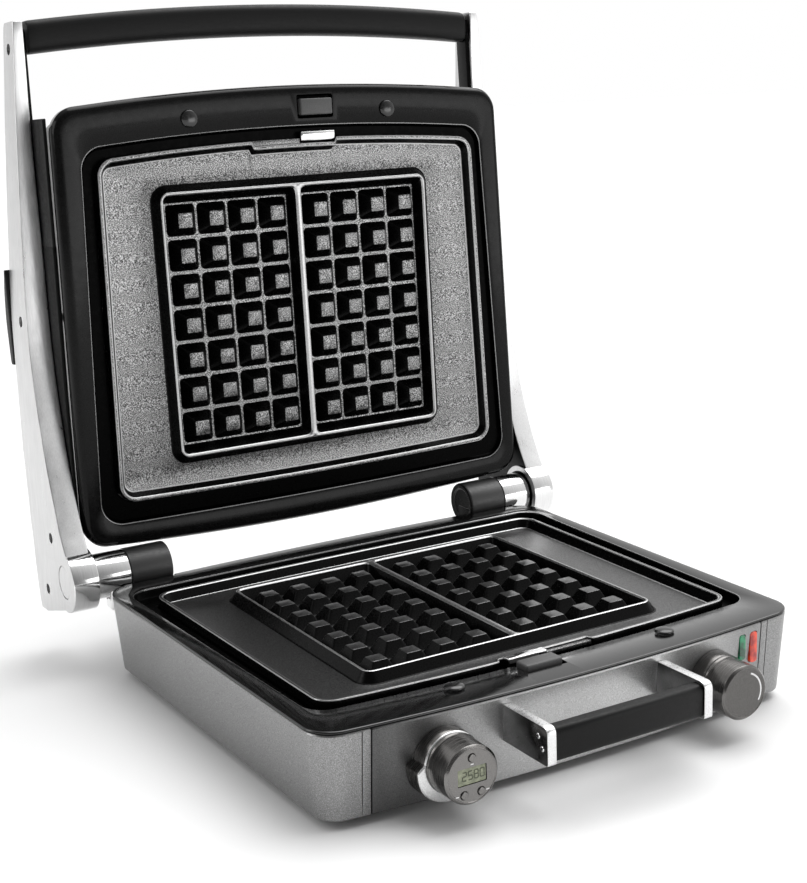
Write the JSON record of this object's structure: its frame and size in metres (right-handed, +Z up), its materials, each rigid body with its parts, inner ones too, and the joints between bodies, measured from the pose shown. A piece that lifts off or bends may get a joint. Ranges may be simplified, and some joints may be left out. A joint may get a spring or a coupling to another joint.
{
  "type": "waffle maker",
  "caption": "Electric waffle maker: low silver base, lid on two long arms shown open, lift-out waffle plates, timer and thermostat knobs, carrying handles.",
  "frame": {"origin": "on the floor plane under the middle of the whole outline with the lid open", "axes": "+X to the right as the user faces the front, front towards -Y, +Z up"},
  "size_m": [0.381, 0.4361, 0.4297],
  "materials": {
    "silver_paint": "satin metallic silver with a fine speckle",
    "aluminium": "satin anodised",
    "polished_steel": "polished",
    "black_plastic": "gloss black",
    "soft_black": "satin black",
    "non_stick": "cast, with a dark speckled non-stick coating",
    "gunmetal": "warm gunmetal, fine brushed",
    "rubber": "matt",
    "chrome": "bright",
    "lcd": "grey-green display",
    "green_lens": "tinted lens",
    "red_lens": "tinted lens",
    "board": "circuit board",
    "pan_metal": "bare pressed sheet",
    "element_steel": "heat-tinted tube"
  },
  "bodies": {
    "base": {"base_shell": "silver_paint", "front_fascia": "silver_paint", "handle_plate_left": "aluminium", "handle_plate_right": "aluminium", "hinge_bracket_left": "polished_steel", "hinge_bracket_right": "polished_steel", "base_bezel": "black_plastic", "hinge_cover_left": "black_plastic", "hinge_cover_right": "black_plastic", "bottom_cover": "soft_black", "handle_bar": "soft_black", "terminal_block": "soft_black", "timer_boss": "gunmetal", "timer_body": "gunmetal", "thermostat_boss": "gunmetal", "foot_front_left": "rubber", "foot_front_right": "rubber", "foot_rear_left": "rubber", "foot_rear_right": "rubber", "bumper_base_left": "rubber", "bumper_base_right": "rubber", "cord_gland": "rubber", "hinge_pin_left": "chrome", "hinge_pin_right": "chrome", "timer_window": "lcd", "lens_green": "green_lens", "lens_red": "red_lens", "timer_board": "board", "lamp_board": "board", "lower_heat_tray": "pan_metal", "thermal_cutout": "pan_metal", "thermostat_body": "pan_metal", "lower_element": "element_steel"},
    "lid": {"arm_left": "aluminium", "arm_right": "aluminium", "arm_cap_left": "aluminium", "arm_cap_right": "aluminium", "lid_cover": "silver_paint", "lid_bezel": "black_plastic", "lid_side_frame": "black_plastic", "arm_liner_left": "black_plastic", "arm_liner_right": "black_plastic", "handle_grip": "soft_black", "bumper_lid_left": "rubber", "bumper_lid_right": "rubber", "lid_pivot_left": "chrome", "lid_pivot_right": "chrome", "upper_heat_tray": "pan_metal", "upper_element": "element_steel"},
    "lower_plate": {"lower_plate": "non_stick"},
    "upper_plate": {"upper_plate": "non_stick"},
    "thermostat_knob": {"thermostat_knob": "gunmetal"},
    "timer_button_top": {"timer_button_top": "gunmetal"},
    "timer_button_left": {"timer_button_left": "gunmetal"},
    "timer_button_right": {"timer_button_right": "gunmetal"},
    "base_release": {"base_release_button": "soft_black", "base_catch": "chrome"},
    "lid_release": {"lid_release_button": "soft_black", "lid_catch": "chrome"},
    "lock_lever": {"lock_lever": "soft_black"}
  },
  "joints": [
    {"name": "lid_hinge", "type": "hinge", "parent": "base", "child": "lid", "pos_m": [0, 0.1364, 0.062], "axis": [-1, 0, 0], "range_deg": [-92.1, 0]},
    {"name": "thermostat_turn", "type": "hinge", "parent": "base", "child": "thermostat_knob", "pos_m": [0.0923, -0.1852, 0.03], "axis": [0, -1, 0], "range_deg": [0, 270]},
    {"name": "press_top", "type": "slide", "parent": "base", "child": "timer_button_top", "axis": [0, 1, 0], "range_m": [0, 0.0006], "stiffness_N_per_m": 150},
    {"name": "press_left", "type": "slide", "parent": "base", "child": "timer_button_left", "axis": [0, 1, 0], "range_m": [0, 0.0006], "stiffness_N_per_m": 150},
    {"name": "press_right", "type": "slide", "parent": "base", "child": "timer_button_right", "axis": [0, 1, 0], "range_m": [0, 0.0006], "stiffness_N_per_m": 150},
    {"name": "base_release_slide", "type": "slide", "parent": "base", "child": "base_release", "axis": [0, -1, 0], "range_m": [0, 0.0022], "stiffness_N_per_m": 400},
    {"name": "lid_release_slide", "type": "slide", "parent": "lid", "child": "lid_release", "axis": [0, 0.0366, 0.9993], "range_m": [0, 0.0022], "stiffness_N_per_m": 400},
    {"name": "lock_lever_turn", "type": "hinge", "parent": "lid", "child": "lock_lever", "pos_m": [-0.1817, 0.21207, 0.20182], "axis": [-1, 0, 0], "range_deg": [0, 30]},
    {"name": "lower_plate_lift", "type": "slide", "parent": "base", "child": "lower_plate", "axis": [0, 0, 1], "range_m": [0, 0.045]},
    {"name": "upper_plate_lift", "type": "slide", "parent": "lid", "child": "upper_plate", "axis": [0, -0.9993, 0.0366], "range_m": [0, 0.035]}
  ]
}
